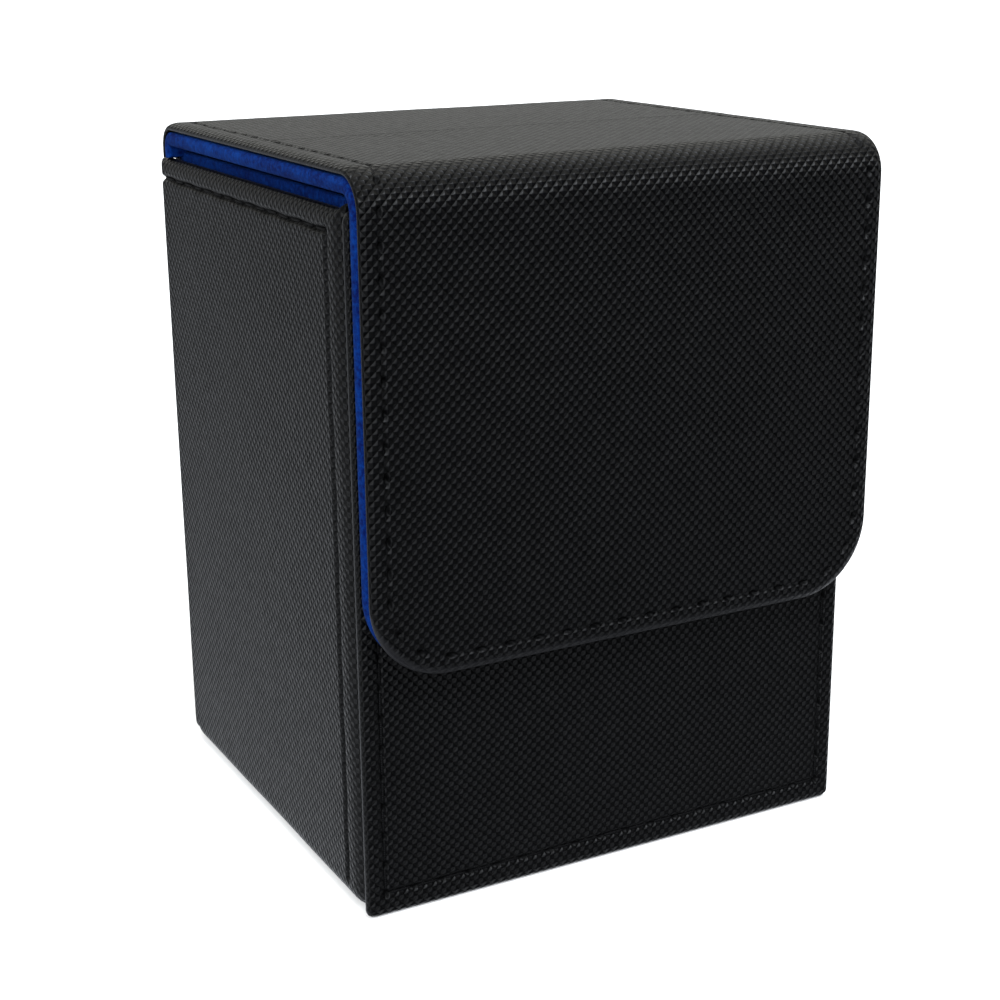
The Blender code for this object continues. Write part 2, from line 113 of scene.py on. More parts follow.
# Seams
STITCH_PITCH = 4.2 * MM
HOLE_HALF_LENGTH = 0.62 * MM
HOLE_HALF_WIDTH = 0.36 * MM
HOLE_DEPTH = 0.75 * MM
VALLEY_HALF_WIDTH = 0.36 * MM
VALLEY_WOBBLE = 0.09 * MM
RIM_VALLEY_DEPTH = 0.60 * MM
PANEL_VALLEY_DEPTH = 0.24 * MM
STRAP_VALLEY_DEPTH = 0.16 * MM
THREAD_R = 0.22 * MM
THREAD_BELOW_FACE = 0.36 * MM
THREAD_BELOW_RIM = 0.58 * MM
THREAD_SIDES = 8
THREAD_STEPS = 8
THREAD_SPAN = (0.15, 0.85)  # where a stitch shows, as shares of the way between its needle holes
THREAD_LEAN = 0.07 * MM
THREAD_RISE = 0.02 * MM
SIDE_SEAM_FROM_FRONT = 4.8 * MM
SIDE_SEAM_FROM_RIM = 3.0 * MM
PANEL_SEAM_FROM_EDGE = 2.7 * MM
PANEL_SEAM_FROM_BOTTOM = 3.4 * MM
LID_SEAM_FROM_EDGE = 3.6 * MM
FLAP_SEAM_FROM_EDGE = 2.6 * MM

# How finely the sheets are divided
CELL = 3.0 * MM
FOLD_CELL = 0.45 * MM
FOLD_MARGIN = 0.9 * MM
SEAM_CELL = 0.16 * MM
SEAM_MARGIN = 1.3 * MM
CORNER_CELL = 0.8 * MM
CLOSEST_LINES = 0.06 * MM
ROLL_STEPS = 7
CREASE_ANGLE = math.radians(50)

EMBOSS_PITCH = 1.0 * MM
STUD_HEIGHT = 0.24 * MM
STUD_WANDER = 0.16 * MM
STRAND_PITCH = 0.32 * MM
# At a rolled edge the embossing is pressed flat, and more so at the end of the flap, whose rim also gets a
# painted sheen
SMOOTH_RIM = 0.2 * MM
FLAP_RIM = 1.1 * MM

# An edge of a sheet: how far in its outer roll reaches, what share of the thickness that roll takes,
# and how far in the roll on the back reaches.
Edge = namedtuple("Edge", "reach share inner")
SQUARE = Edge(TINY, 0.5, TINY)
WRAP_RIM = Edge(1.9 * MM, 0.6, 0.8 * MM)
WRAP_FRONT = Edge(3.2 * MM, 0.84, 0.3 * MM)
WRAP_REAR = Edge(1.5 * MM, 0.5, 0.8 * MM)
FRONT_SIDE = Edge(1.1 * MM, 0.5, 0.9 * MM)
FRONT_TOP = Edge(1.2 * MM, 0.6, 0.4 * MM)
FRONT_BOTTOM = Edge(1.4 * MM, 0.6, 0.4 * MM)
BACK_SIDE = Edge(1.0 * MM, 0.3, 0.3 * MM)
BACK_TOP = Edge(0.9 * MM, 0.5, 0.5 * MM)
LINER_EDGE = Edge(0.45 * MM, 0.5, 0.45 * MM)
STRAP_SIDE = Edge(1.9 * MM, 0.78, 0.25 * MM)
STRAP_END = Edge(1.6 * MM, 0.78, 0.25 * MM)
LINING_SIDE = Edge(0.5 * MM, 0.5, 0.5 * MM)
LINING_TAIL = Edge(0.3 * MM, 0.5, 0.3 * MM)

# Colours
LEATHER_BLACK = (0.0010, 0.0010, 0.0012, 1.0)
# Painted shade: the base colour in the grooves between the embossed studs, and in the needle holes and
# stitched valleys
PAINTED_GROOVE_SHADE = (0.0001, 0.0001, 0.0001, 1.0)
# Painted sheen: a lighter base colour on the smooth rim at the end of the flap
PAINTED_RIM_SHEEN = (0.010, 0.010, 0.011, 1.0)
DEEP_BLUE = (0.0001, 0.0020, 0.030, 1.0)
LIGHT_BLUE = (0.0004, 0.0135, 0.086, 1.0)
SHEEN_BLUE = (0.10, 0.40, 1.0, 1.0)
WHITE = (1.0, 1.0, 1.0, 1.0)

# Light. The glow's strength in front follows FADE_AXIS, and behind it follows how far up or down it is.
COOL_LIGHT = (0.90, 0.94, 1.0)
WARM_LIGHT = (1.0, 1.0, 0.94)
FADE_AXIS = (-0.707, 0.0, 0.707)
FADE_REACH = (-0.85, 1.0)
FADE_POWER = 3.2
GLOW_DARKEST = 0.0
GLOW_BRIGHTEST = 12.5
GLOW_BEHIND = (0.45, 1.6)  # at the horizon, and well above or below it
GLOW_BEHIND_REACH = (0.0, 0.5)
BEHIND_REACH = (-0.6, 0.1)
WARM_REACH = (-0.1, 0.3)
TOP_LIGHT_WAY = (10, 64)  # azimuth and elevation in degrees
TOP_LIGHT_WIDTH = 30
TOP_LIGHT_RADIANCE = 25.0
FLOOR_HALF_WIDTH = 6.0

# Camera: degrees, a place and a lens in millimetres
CAMERA_AZIMUTH = -28.126
CAMERA_ELEVATION = 16.981
CAMERA_ROLL = -0.546
CAMERA_PLACE = (-0.12605, -0.2339, 0.12537)
CAMERA_LENS = 66.0
CAMERA_SENSOR = 36.0
CAMERA_NEAREST = 0.01


def four_edges(low, high, start, end):
    return {"low": low, "high": high, "start": start, "end": end}


# Paths: straight runs and arcs in one plane. The outer face is on the right, and arcs turn left.


def heading(angle):
    return np.array([math.cos(angle), math.sin(angle)])


def outward(angle):
    return np.array([math.sin(angle), -math.cos(angle)])


def make_path(start, angle, moves):
    """The pieces of a path. A move is (length, 0) for a straight run and (turn, radius) for an arc."""
    pieces = []
    point = np.array(start, float)
    distance = 0.0
    for amount, radius in moves:
        length = amount * radius if radius else amount
        pieces.append((distance, length, point, angle, radius))
        if radius:
            point = point + radius * (outward(angle + amount) - outward(angle))
            angle += amount
        else:
            point = point + length * heading(angle)
        distance += length
    return pieces


def follow(path, along, height):
    """Points in the path's plane at distances along it, each one a height out from it."""
    along = np.asarray(along, float)
    height = np.broadcast_to(height, along.shape)
    found = np.zeros(along.shape + (2,))
    for number, (distance, _, point, angle, radius) in enumerate(path):
        here = along >= distance if number else np.ones(along.shape, bool)
        run = (along[here] - distance)[:, None]
        out = height[here][:, None]
        if radius:
            turn = angle + run / radius
            normal = np.concatenate([np.sin(turn), -np.cos(turn)], axis=1)
            found[here] = point - radius * outward(angle) + normal * (radius + out)
        else:
            found[here] = point + run * heading(angle) + out * outward(angle)
    return found


# Grid lines


def roll_lines(reach):
    """Distances from an edge at which its roll needs a line."""
    turns = [math.pi / 2 * step / ROLL_STEPS for step in range(ROLL_STEPS + 1)]
    return [reach * (1 - math.cos(turn)) for turn in turns]


def seam_lines(distance):
    """Distances from an edge at which a seam that runs beside it needs a line."""
    steps = (0, 0.25, 0.5, 0.8, 1.15, 1.6, 2.3, 3.2)
    return [distance + side * share * VALLEY_HALF_WIDTH for side in (-1, 1) for share in steps]


def hole_lines(marks):
    """Lines that cut across a seam at each of its needle holes."""
    return [mark + share * HOLE_HALF_LENGTH for mark in marks for share in (-1.5, -0.7, 0, 0.7, 1.5)]


def even(start, end, cell):
    count = max(1, math.ceil((end - start) / cell - 0.001))
    return [start + (end - start) * step / count for step in range(count + 1)]


def spaced(marks, low, high):
    """Sorted lines from low to high through the marks, with none too close and none too far apart."""
    kept = [low]
    ends = 0.05 * CLOSEST_LINES
    for mark in sorted(marks):
        apart = mark - kept[-1] > CLOSEST_LINES or kept[-1] == low
        if apart and low + ends < mark < high - ends:
            kept.append(mark)
    kept.append(high)
    lines = []
    for start, end in zip(kept, kept[1:]):
        lines += even(start, end, CELL)[:-1]
    return np.array(lines + [high])


def smooth_share(value, start, end):
    """0 up to the start, 1 from the end on, and a smooth rise between them."""
    share = np.clip((value - start) / (end - start), 0, 1)
    return share * share * (3 - 2 * share)


def quarter_round(distance, reach):
    """How far a quarter-round edge has dropped: 1 at the edge itself and 0 beyond its reach."""
    share = np.clip(1 - distance / reach, 0, 1)
    return 1 - np.sqrt(1 - share * share)


def marks_along_line(start, end):
    """Evenly spaced needle holes from start to end."""
    return even(start, end, (end - start) / max(1, round((end - start) / STITCH_PITCH)))


def round_corner(across, along, corner, side, end):
    """Bends the square corner of a grid into a quarter circle about a centre. side and end are 1 or -1."""
    centre_across, centre_along = corner
    out_across = side * (across - centre_across)
    out_along = end * (along - centre_along)
    inside = (out_across > 0) & (out_along > 0)
    reach = np.hypot(out_across, out_along)
    share = np.where(inside, np.maximum(out_across, out_along) / np.maximum(reach, ALMOST_ZERO), 1.0)
    return (
        np.where(inside, centre_across + side * out_across * share, across),
        np.where(inside, centre_along + end * out_along * share, along),
    )


def undulation(across, along):
    """The slight unevenness of leather glued over board: 0 at its highest and down to -2."""
    waves = ((61.0, 23.0, 0.4), (-37.0, 83.0, 1.9), (113.0, -59.0, 4.1), (17.0, 131.0, 2.6))
    return sum(np.sin(x * across * 2.2 + y * along * 2.2 + phase) for x, y, phase in waves) / len(waves) - 1


class Sheet:
    """A panel laid along a path, with places on it given as (across, along) on its flat cut."""

    def __init__(self, path, low, high, thickness, edges, over_x=True):
        self.path = path
        self.low = low
        self.high = high
        self.length = path[-1][0] + path[-1][1]
        self.thickness = thickness
        self.edges = edges
        self.over_x = over_x  # the width runs along X, and otherwise along Y
        self.corners = []
        self.runs = []  # seams, each a list of needle holes
        self.seam_offset = None
        self.valley_depth = 0.0
        self.valley_share = lambda along: 1.0
        self.thread_depth = THREAD_BELOW_FACE
        self.end_rim = 0.0
        self.across_marks = []
        self.along_marks = []
        self.unevenness = 0.0
        self.reshape = None
        self.finish = None

    def flat(self, across, along):
        """The true flat place of a grid point, with round corners."""
        if self.reshape:
            across, along = self.reshape(across, along)
        for corner, side, end in self.corners:
            across, along = round_corner(across, along, corner, side, end)
        return across, along

    def place(self, across, along, height):
        """The point over a flat place, at a height out from the path."""
        spot = follow(self.path, along, height)
        parts = [across, spot[..., 0]] if self.over_x else [spot[..., 0], across]
        points = np.stack([*parts, spot[..., 1]], axis=-1)
        return self.finish(points) if self.finish else points

    def add_corners(self, radius, *which):
        for side, end in which:
            edge_across = self.high if side > 0 else self.low
            edge_along = self.length if end > 0 else 0.0
            centre_across = edge_across - side * radius
            centre_along = edge_along - end * radius
            self.corners.append(((centre_across, centre_along), side, end))
            self.across_marks += even(*sorted((centre_across, edge_across)), CORNER_CELL)
            self.along_marks += even(*sorted((centre_along, edge_along)), CORNER_CELL)

    def lines(self):
        """Grid lines across and along the sheet."""
        found = {name: roll_lines(e.reach) + [e.inner * 0.3, e.inner] for name, e in self.edges.items()}
        across = self.across_marks + [self.low + d for d in found["low"]]
        across += [self.high - d for d in found["high"]]
        along = self.along_marks + found["start"] + [self.length - d for d in found["end"]]
        return spaced(across, self.low, self.high), spaced(along, 0.0, self.length)

    def gaps(self, across, along):
        """How far in from each edge every grid place is."""
        return four_edges(across - self.low, self.high - across, along, self.length - along)

    def drop(self, gaps):
        """How far the face rolls down at the edges."""
        parts = [self.edges[n].share * quarter_round(g, self.edges[n].reach) for n, g in gaps.items()]
        return self.thickness * np.maximum.reduce(parts)

    def lift(self, gaps):
        """How far the back rolls up at the edges."""
        parts = [(1 - self.edges[n].share) * quarter_round(g, self.edges[n].inner) for n, g in gaps.items()]
        return self.thickness * np.maximum.reduce(parts)

    def needle_holes(self, across, along):
        """How deep into a needle hole each true flat place is: 1 at the middle of a deep one."""
        depth = np.zeros(across.shape)
        dice = random.Random(len(self.runs))
        for run in self.runs:
            holes = np.array(run)
            for number, hole in enumerate(holes):
                strength = dice.uniform(0.5, 1.0)
                way = holes[min(number + 1, len(holes) - 1)] - holes[max(number - 1, 0)]
                way = way / np.linalg.norm(way)
                run_on = (across - hole[0]) * way[0] + (along - hole[1]) * way[1]
                beside = (across - hole[0]) * way[1] - (along - hole[1]) * way[0]
                shape = np.exp(-(((run_on / HOLE_HALF_LENGTH) ** 2 + (beside / HOLE_HALF_WIDTH) ** 2) ** 2))
                depth = np.maximum(depth, shape * strength)
        return depth

    def valley(self, across, along):
        """How far down in the stitched valley each grid place is: 1 along its middle."""
        wobble = VALLEY_WOBBLE * np.sin(math.pi * (across + along) / STITCH_PITCH)
        shape = np.exp(-(((self.seam_offset(across, along) + wobble) / VALLEY_HALF_WIDTH) ** 2))
        return shape * self.valley_share(along)

    def surface_marks(self, across, along):
        """What the material needs to know: the embossing's strength, the painted shade in the needle holes
        and stitched valleys, and the flap's rim, pressed flat and with a painted sheen.
        """
        gaps = self.gaps(across, along)
        rolled = [g for n, g in gaps.items() if self.edges[n].reach > 2 * SMOOTH_RIM]
        edge_gap = np.minimum.reduce(rolled) if rolled else np.ones(across.shape)
        corner = self.length - FLAP_CORNER_R
        reach = self.end_rim * smooth_share(along, corner, corner + 0.7 * FLAP_CORNER_R)
        rim = np.clip(1 - edge_gap / np.maximum(reach, ALMOST_ZERO), 0, 1) ** 0.7
        relief = smooth_share(edge_gap, 0.0, SMOOTH_RIM) * (1 - rim)
        shade = np.zeros(across.shape)
        if self.seam_offset:
            holes = self.needle_holes(*self.flat(across, along))
            valley = self.valley(across, along) * self.valley_depth / RIM_VALLEY_DEPTH
            relief = relief * (1 - 0.8 * np.maximum(valley, holes))
            # shade is painted shade: it darkens the base colour in the needle holes and along the stitched
            # valleys
            shade = np.maximum(valley ** 2, holes)
        return {"relief": relief, "shade": np.clip(shade, 0, 1), "rim": rim}

    def outer_height(self, across, along):
        height = -self.drop(self.gaps(across, along))
        flat_across, flat_along = self.flat(across, along)
        if self.seam_offset:
            valley = self.valley_depth * self.valley(across, along)
            height = height - np.maximum(valley, HOLE_DEPTH * self.needle_holes(flat_across, flat_along))
        if self.unevenness:
            away = np.minimum.reduce(list(self.gaps(across, along).values()))
            dip = undulation(flat_across, flat_along) * np.clip(away / CELL, 0, 1)
            height = height + self.unevenness * dip
        return height

    def unrolled(self, lines, low_edge, high_edge):
        """Where the lines lie on the flat cut once the rolled edges are laid flat."""
        drop = self.drop({low_edge: lines - lines[0], high_edge: lines[-1] - lines})
        step = np.diff(lines)
        extra = np.hypot(step, np.diff(drop)) - step
        before = np.concatenate([[0.0], np.cumsum(extra)])
        return lines + before - before[len(lines) // 2]

    def build(self, name, material):
        across_lines, along_lines = self.lines()
        across, along = np.meshgrid(across_lines, along_lines, indexing="ij")
        gaps = self.gaps(across, along)
        outer = self.outer_height(across, along)
        inner = np.minimum(self.lift(gaps) - self.thickness, outer - THINNEST)
        flat_across, flat_along = self.flat(across, along)
        face = self.place(flat_across, flat_along, outer)
        back = self.place(flat_across, flat_along, inner)

        wide, long = across.shape
        laid = np.meshgrid(
            self.unrolled(across_lines, "low", "high"),
            self.unrolled(along_lines, "start", "end"),
            indexing="ij",
        )
        face_uv = np.stack(self.flat(*laid), axis=-1)
        back_uv = self.turned_under(gaps, *laid)

        face_index = np.arange(wide * long).reshape(wide, long)
        inside_index = np.arange((wide - 2) * (long - 2)).reshape(wide - 2, long - 2)
        back_index = face_index.copy()
        back_index[1:-1, 1:-1] = wide * long + inside_index
        points = np.concatenate([face.reshape(-1, 3), back[1:-1, 1:-1].reshape(-1, 3)])
        marks = {
            key: np.concatenate([value.reshape(-1), value[1:-1, 1:-1].reshape(-1)])
            for key, value in self.surface_marks(across, along).items()
        }
        flats = np.concatenate([face_uv.reshape(-1, 2), back_uv[1:-1, 1:-1].reshape(-1, 2)])
        faces = np.concatenate([quads(face_index), quads(back_index)[:, ::-1]])
        return mesh_object(name, points, faces, material, flats, marks)

    def turned_under(self, gaps, across, along):
        """Flat coordinates of the back: the leather turned in over whichever edge is nearest."""
        nearest = np.argmin(np.stack(list(gaps.values())), axis=0)
        turned = np.stack([across, along])
        ways = ((0, across[0, 0], -1), (0, across[-1, 0], 1), (1, along[0, 0], -1), (1, along[0, -1], 1))
        for number, (gap, (axis, edge, way)) in enumerate(zip(gaps.values(), ways)):
            here = nearest == number
            turned[axis][here] = edge + way * gap[here]
        return np.moveaxis(turned, 0, -1)


def quads(index):
    """The faces of a grid of point numbers."""
    corners = (index[:-1, :-1], index[1:, :-1], index[1:, 1:], index[:-1, 1:])
    return np.stack([c.reshape(-1) for c in corners], axis=-1)


def mesh_object(name, points, faces, material, flats=None, marks=None):
    """A smooth object whose UV map holds flat places in metres, with a value per point for each mark."""
    mesh = bpy.data.meshes.new(name)
    mesh.from_pydata(points.tolist(), [], [tuple(f) for f in faces.tolist()])
    if flats is not None:
        layer = mesh.uv_layers.new(name="flat")
        loop_vertices = np.zeros(len(mesh.loops), int)
        mesh.loops.foreach_get("vertex_index", loop_vertices)
        layer.data.foreach_set("uv", flats[loop_vertices].astype(np.float32).ravel())
    for key, values in (marks or {}).items():
        mesh.attributes.new(key, "FLOAT", "POINT").data.foreach_set("value", values.astype(np.float32))
    work = bmesh.new()
    work.from_mesh(mesh)
    bmesh.ops.recalc_face_normals(work, faces=work.faces)
    work.to_mesh(mesh)
    work.free()
    mesh.shade_smooth()
    mesh.set_sharp_from_angle(angle=CREASE_ANGLE)
    mesh.materials.append(material)
    obj = bpy.data.objects.new(name, mesh)
    bpy.context.scene.collection.objects.link(obj)
    return obj


# Stitches


def stitch_runs_mesh(name, sheet, runs, material, seed):
    """The thread of a seam: from each needle hole to the next, sunk into the valley."""
    dice = random.Random(seed)
    points, faces = [], []
    for run in runs:
        for first, second in zip(run, run[1:]):
            add_stitch(points, faces, sheet, np.array(first), np.array(second), dice)
    return mesh_object(name, np.array(points), np.array(faces), material)


def add_stitch(points, faces, sheet, first, second, dice):
    """One stitch: a tube that dips at both ends, leans a little and is closed with a fan at each end."""
    share = np.linspace(*THREAD_SPAN, THREAD_STEPS + 1)
    way = (second - first) / np.linalg.norm(second - first)
    side_way = np.array([way[1], -way[0]])
    lean = [dice.uniform(-THREAD_LEAN, THREAD_LEAN) for _ in range(2)]
    offsets = lean[0] * (1 - share) + lean[1] * share
    flats = first + share[:, None] * (second - first) + offsets[:, None] * side_way
    off_middle = np.abs(2 * share - 1)
    rise = -sheet.thread_depth * (1 + 0.9 * off_middle ** 4) + dice.uniform(-THREAD_RISE, THREAD_RISE)
    centre = sheet.place(flats[:, 0], flats[:, 1], rise)
    normal = (sheet.place(flats[:, 0], flats[:, 1], rise + MM) - centre) / MM
    tangent = np.gradient(centre, axis=0)
    tangent /= np.linalg.norm(tangent, axis=1)[:, None]
    side = np.cross(tangent, normal)
    swell = THREAD_R * (1 - 0.45 * off_middle ** 6)
    base = len(points)
    for step in range(THREAD_STEPS + 1):
        for corner in range(THREAD_SIDES):
            turn = 2 * math.pi * corner / THREAD_SIDES
            ring = math.cos(turn) * side[step] + math.sin(turn) * normal[step]
            points.append(centre[step] + swell[step] * ring)
    last = base + THREAD_STEPS * THREAD_SIDES
    for ring_start in range(base, last, THREAD_SIDES):
        for corner in range(THREAD_SIDES):
            one = ring_start + corner
            two = ring_start + (corner + 1) % THREAD_SIDES
            faces.append([one, two, two + THREAD_SIDES, one + THREAD_SIDES])
    for ring_start, middle in ((base, centre[0]), (last, centre[-1])):
        tip = len(points)
        points.append(middle)
        for corner in range(0, THREAD_SIDES, 2):
            ring = [ring_start + (corner + k) % THREAD_SIDES for k in range(3)]
            faces.append([tip, *ring])


# Materials


class Nodes:
    """Short names for building a node tree."""

    def __init__(self, tree):
        self.tree = tree

    def add(self, kind, inputs=(), **settings):
        """A node with its settings, and with its inputs given as pairs of a name or number and a value."""
        made = self.tree.nodes.new(kind)
        for key, value in settings.items():
            setattr(made, key, value)
        for name, value in inputs:
            self.feed(made.inputs[name], value)
        return made

    def feed(self, socket, value):
        if isinstance(value, bpy.types.NodeSocket):
            self.tree.links.new(value, socket)
        else:
            socket.default_value = value

    def math(self, operation, *values, clamp=False):
        return self.add("ShaderNodeMath", enumerate(values), operation=operation, use_clamp=clamp).outputs[0]

    def vector(self, operation, *values):
        return self.add("ShaderNodeVectorMath", enumerate(values), operation=operation).outputs[0]

    def dot(self, one, two):
        made = self.add("ShaderNodeVectorMath", enumerate((one, two)), operation="DOT_PRODUCT")
        return made.outputs["Value"]

    def noise(self, place, scale, detail=3.0, roughness=0.55, output="Fac"):
        inputs = (("Vector", place), ("Scale", scale), ("Detail", detail), ("Roughness", roughness))
        return self.add("ShaderNodeTexNoise", inputs).outputs[output]

    def ramp(self, factor, wanted, given=(0.0, 1.0), shape="LINEAR"):
        """The factor's given range stretched to the wanted one."""
        names = ("Value", "From Min", "From Max", "To Min", "To Max")
        inputs = zip(names, (factor, *given, *wanted))
        return self.add("ShaderNodeMapRange", inputs, interpolation_type=shape).outputs["Result"]

    def mix(self, factor, one, two):
        return self.add("ShaderNodeMix", ((0, factor), (6, one), (7, two)), data_type="RGBA").outputs[2]

    def mix_value(self, factor, one, two):
        return self.add("ShaderNodeMix", ((0, factor), (2, one), (3, two)), data_type="FLOAT").outputs[0]

    def parts(self, vector):
        return self.add("ShaderNodeSeparateXYZ", ((0, vector),)).outputs


class Finish(Nodes):
    """A material with a Principled shader."""

    def __init__(self, name):
        self.material = bpy.data.materials.new(name)
        self.material.use_nodes = True
        super().__init__(self.material.node_tree)
        self.shader = self.tree.nodes["Principled BSDF"]
        self.relief = None

    def bump(self, height, distance):
        """Adds a relief on top of those before it."""
        inputs = [("Distance", distance), ("Height", height)]
        if self.relief:
            inputs.append(("Normal", self.relief))
        self.relief = self.add("ShaderNodeBump", inputs).outputs["Normal"]
        self.set("Normal", self.relief)

    def coordinates(self):
        return self.add("ShaderNodeTexCoord").outputs["Object"]

    def mark(self, name):
        return self.add("ShaderNodeAttribute", attribute_name=name).outputs["Fac"]

    def set(self, name, value):
        self.feed(self.shader.inputs[name], value)


def stud_wave(n, diagonal):
    """A rounded hill across one diagonal of the lattice: 1 at a stud's middle and 0 in the groove."""
    hill = n.math("MULTIPLY", n.math("PINGPONG", diagonal, 0.5), 2.0)
    fall = n.math("POWER", n.math("SUBTRACT", 1.0, hill), 1.45)
    return n.math("SUBTRACT", 1.0, fall)


def make_leather(name):
    """Black leather embossed with a lattice of diamond studs, pressed flat at its rims and seams, with
    painted shade in the grooves, needle holes and stitched valleys and a painted sheen on the flap's rim.
    """
    n = Finish(name)
    flat = n.add("ShaderNodeUVMap", uv_map="flat").outputs["UV"]
    pressed = n.mark("relief")
    shade = n.mark("shade")
    wander = n.noise(flat, 260.0, detail=2.0, output="Color")
    shift = n.vector("SCALE", n.vector("SUBTRACT", wander, (0.5, 0.5, 0.5)))
    shift.node.inputs["Scale"].default_value = STUD_WANDER
    place = n.parts(n.vector("ADD", flat, shift))
    per_metre = 1 / (math.sqrt(2) * EMBOSS_PITCH)
    rising = n.math("MULTIPLY", n.math("ADD", place[0], place[1]), per_metre)
    falling = n.math("MULTIPLY", n.math("SUBTRACT", place[1], place[0]), per_metre)
    stud = n.math("SMOOTH_MIN", stud_wave(n, rising), stud_wave(n, falling), 0.22)
    height_share = n.ramp(n.noise(flat, 420.0, detail=2.0), (0.72, 1.18))
    n.bump(n.math("MULTIPLY", n.math("MULTIPLY", stud, height_share), pressed), STUD_HEIGHT)
    n.bump(n.noise(flat, 3800.0, detail=2.0, roughness=0.6), 0.006 * MM)
    n.bump(n.noise(flat, 150.0, detail=2.0), 0.20 * MM)
    # Painted shade: the base colour darkens from each stud's top down into the grooves between the studs
    top = n.mix_value(pressed, 0.8, n.ramp(stud, (0.0, 1.0), (0.05, 0.75)))
    patch = n.ramp(n.noise(flat, 90.0, detail=4.0), (0.75, 1.25), (0.3, 0.7))
    # The tone takes random patches, and painted shade in the needle holes and valleys
    tone = n.math("MULTIPLY", n.math("MULTIPLY", top, patch), n.math("SUBTRACT", 1.0, shade), clamp=True)
    # Painted sheen: the flap's rim gets a lighter base colour
    n.set("Base Color", n.mix(n.mark("rim"), n.mix(tone, PAINTED_GROOVE_SHADE, LEATHER_BLACK), PAINTED_RIM_SHEEN))
    worn = n.ramp(n.noise(flat, 700.0, detail=3.0), (-0.05, 0.05), (0.3, 0.7))
    rough = n.math("ADD", n.ramp(top, (0.44, 0.31)), worn)
    n.set("Roughness", n.math("ADD", rough, n.math("MULTIPLY", shade, 0.5), clamp=True))
    n.set("Specular IOR Level", 0.06)
    return n.material


def make_cloth(name):
    """Blue microfibre: short soft pile with faint mottling."""
    n = Finish(name)
    place = n.coordinates()
    mottle = n.noise(place, 1500.0, detail=4.0, roughness=0.6)
    pile = n.noise(place, 5200.0, detail=2.0, roughness=0.7)
    broad = n.noise(place, 120.0, detail=2.0)
    tone = n.math("ADD", n.math("MULTIPLY", mottle, 0.65), n.math("MULTIPLY", broad, 0.35))
    n.set("Base Color", n.mix(n.ramp(tone, (0.0, 1.0), (0.40, 0.62)), DEEP_BLUE, LIGHT_BLUE))
    n.bump(mottle, 0.16 * MM)
    n.bump(pile, 0.05 * MM)
    n.set("Roughness", n.ramp(pile, (0.80, 0.98)))
    n.set("Specular IOR Level", 0.03)
    n.set("Sheen Weight", 0.02)
    n.set("Sheen Roughness", 0.5)
    n.set("Sheen Tint", SHEEN_BLUE)
    return n.material


def make_thread(name):
    """Black polyester thread: twisted strands with a dull gloss."""
    n = Finish(name)
    place = n.coordinates()
    split = n.parts(place)
    total = n.math("ADD", n.math("ADD", split[0], split[1]), split[2])
    fuzz = n.noise(place, 9000.0, detail=2.0)
    n.bump(n.math("SINE", n.math("MULTIPLY", total, 2 * math.pi / STRAND_PITCH)), 0.03 * MM)
    n.bump(fuzz, 0.02 * MM)
    n.set("Base Color", n.mix(fuzz, (0.0006, 0.0006, 0.0007, 1.0), (0.002, 0.002, 0.0022, 1.0)))
    n.set("Roughness", n.ramp(fuzz, (0.50, 0.70)))
    n.set("Specular IOR Level", 0.05)
    return n.material


def make_greyboard(name):
    """Pressed paper board: flecks of grey and brown fibre."""
    n = Finish(name)
    place = n.coordinates()
    fibre = n.noise(place, 1800.0, detail=6.0, roughness=0.75)
    fleck = n.noise(place, 600.0, detail=2.0)
    tone = n.ramp(n.math("ADD", fibre, n.math("MULTIPLY", fleck, 0.4)), (0.0, 1.0), (0.5, 0.9))
    n.set("Base Color", n.mix(tone, (0.20, 0.18, 0.15, 1.0), (0.36, 0.34, 0.30, 1.0)))
    n.bump(fibre, 0.06 * MM)
    n.set("Roughness", n.ramp(fleck, (0.8, 0.95)))
    return n.material


def make_steel(name):
    """Nickel-plated magnet: bright, with fine tumbling scratches."""
    n = Finish(name)
    scratch = n.noise(n.coordinates(), 2500.0, detail=4.0, roughness=0.8)
    n.set("Base Color", n.mix(scratch, (0.50, 0.49, 0.46, 1.0), (0.64, 0.63, 0.60, 1.0)))
    n.set("Metallic", 1.0)
    n.set("Roughness", n.ramp(scratch, (0.2, 0.42)))
    n.bump(scratch, 0.01 * MM)
    return n.material


def make_floor_finish(name):
    """A plain pale sweep, very slightly uneven, and partly emissive so that shadows on it stay light."""
    n = Finish(name)
    tone = n.noise(n.coordinates(), 3.0, detail=2.0)
    n.set("Base Color", n.mix(tone, (0.34, 0.34, 0.34, 1.0), (0.37, 0.37, 0.37, 1.0)))
    n.set("Roughness", n.ramp(tone, (0.75, 0.85)))
    n.set("Specular IOR Level", 0.0)
    n.set("Emission Color", WHITE)
    n.set("Emission Strength", 0.38)
    return n.material


# The pieces


def stand_in(obj, body, slot, *nodes):
    """Puts a piece on one body, in place of its CAD nodes."""
    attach(obj, body)
    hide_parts(*nodes)


def round_rear_bottom(points):
    """Rounds the edge where the bottom turns up into the back, seen from the side."""
    low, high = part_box("wrap_leather")
    inner_y = high.y - REAR_BOTTOM_R
    inner_z = low.z + REAR_BOTTOM_R
    across, along = round_corner(points[..., 1], -points[..., 2], (inner_y, -inner_z), 1, 1)
    return np.stack([points[..., 0], across, -along], axis=-1)


def flare_front_corners(points):
    """Lifts the sides' top front corners, where the rim ends in a small horn."""
    low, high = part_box("wrap_leather")
    near_front = smooth_share(low.y + HORN_LENGTH - points[..., 1], 0.0, HORN_LENGTH)
    near_rim = smooth_share(points[..., 2], high.z - 3 * HORN_LENGTH, high.z)
    points = points.copy()
    points[..., 2] += HORN_RISE * near_front ** 2 * near_rim
    return points


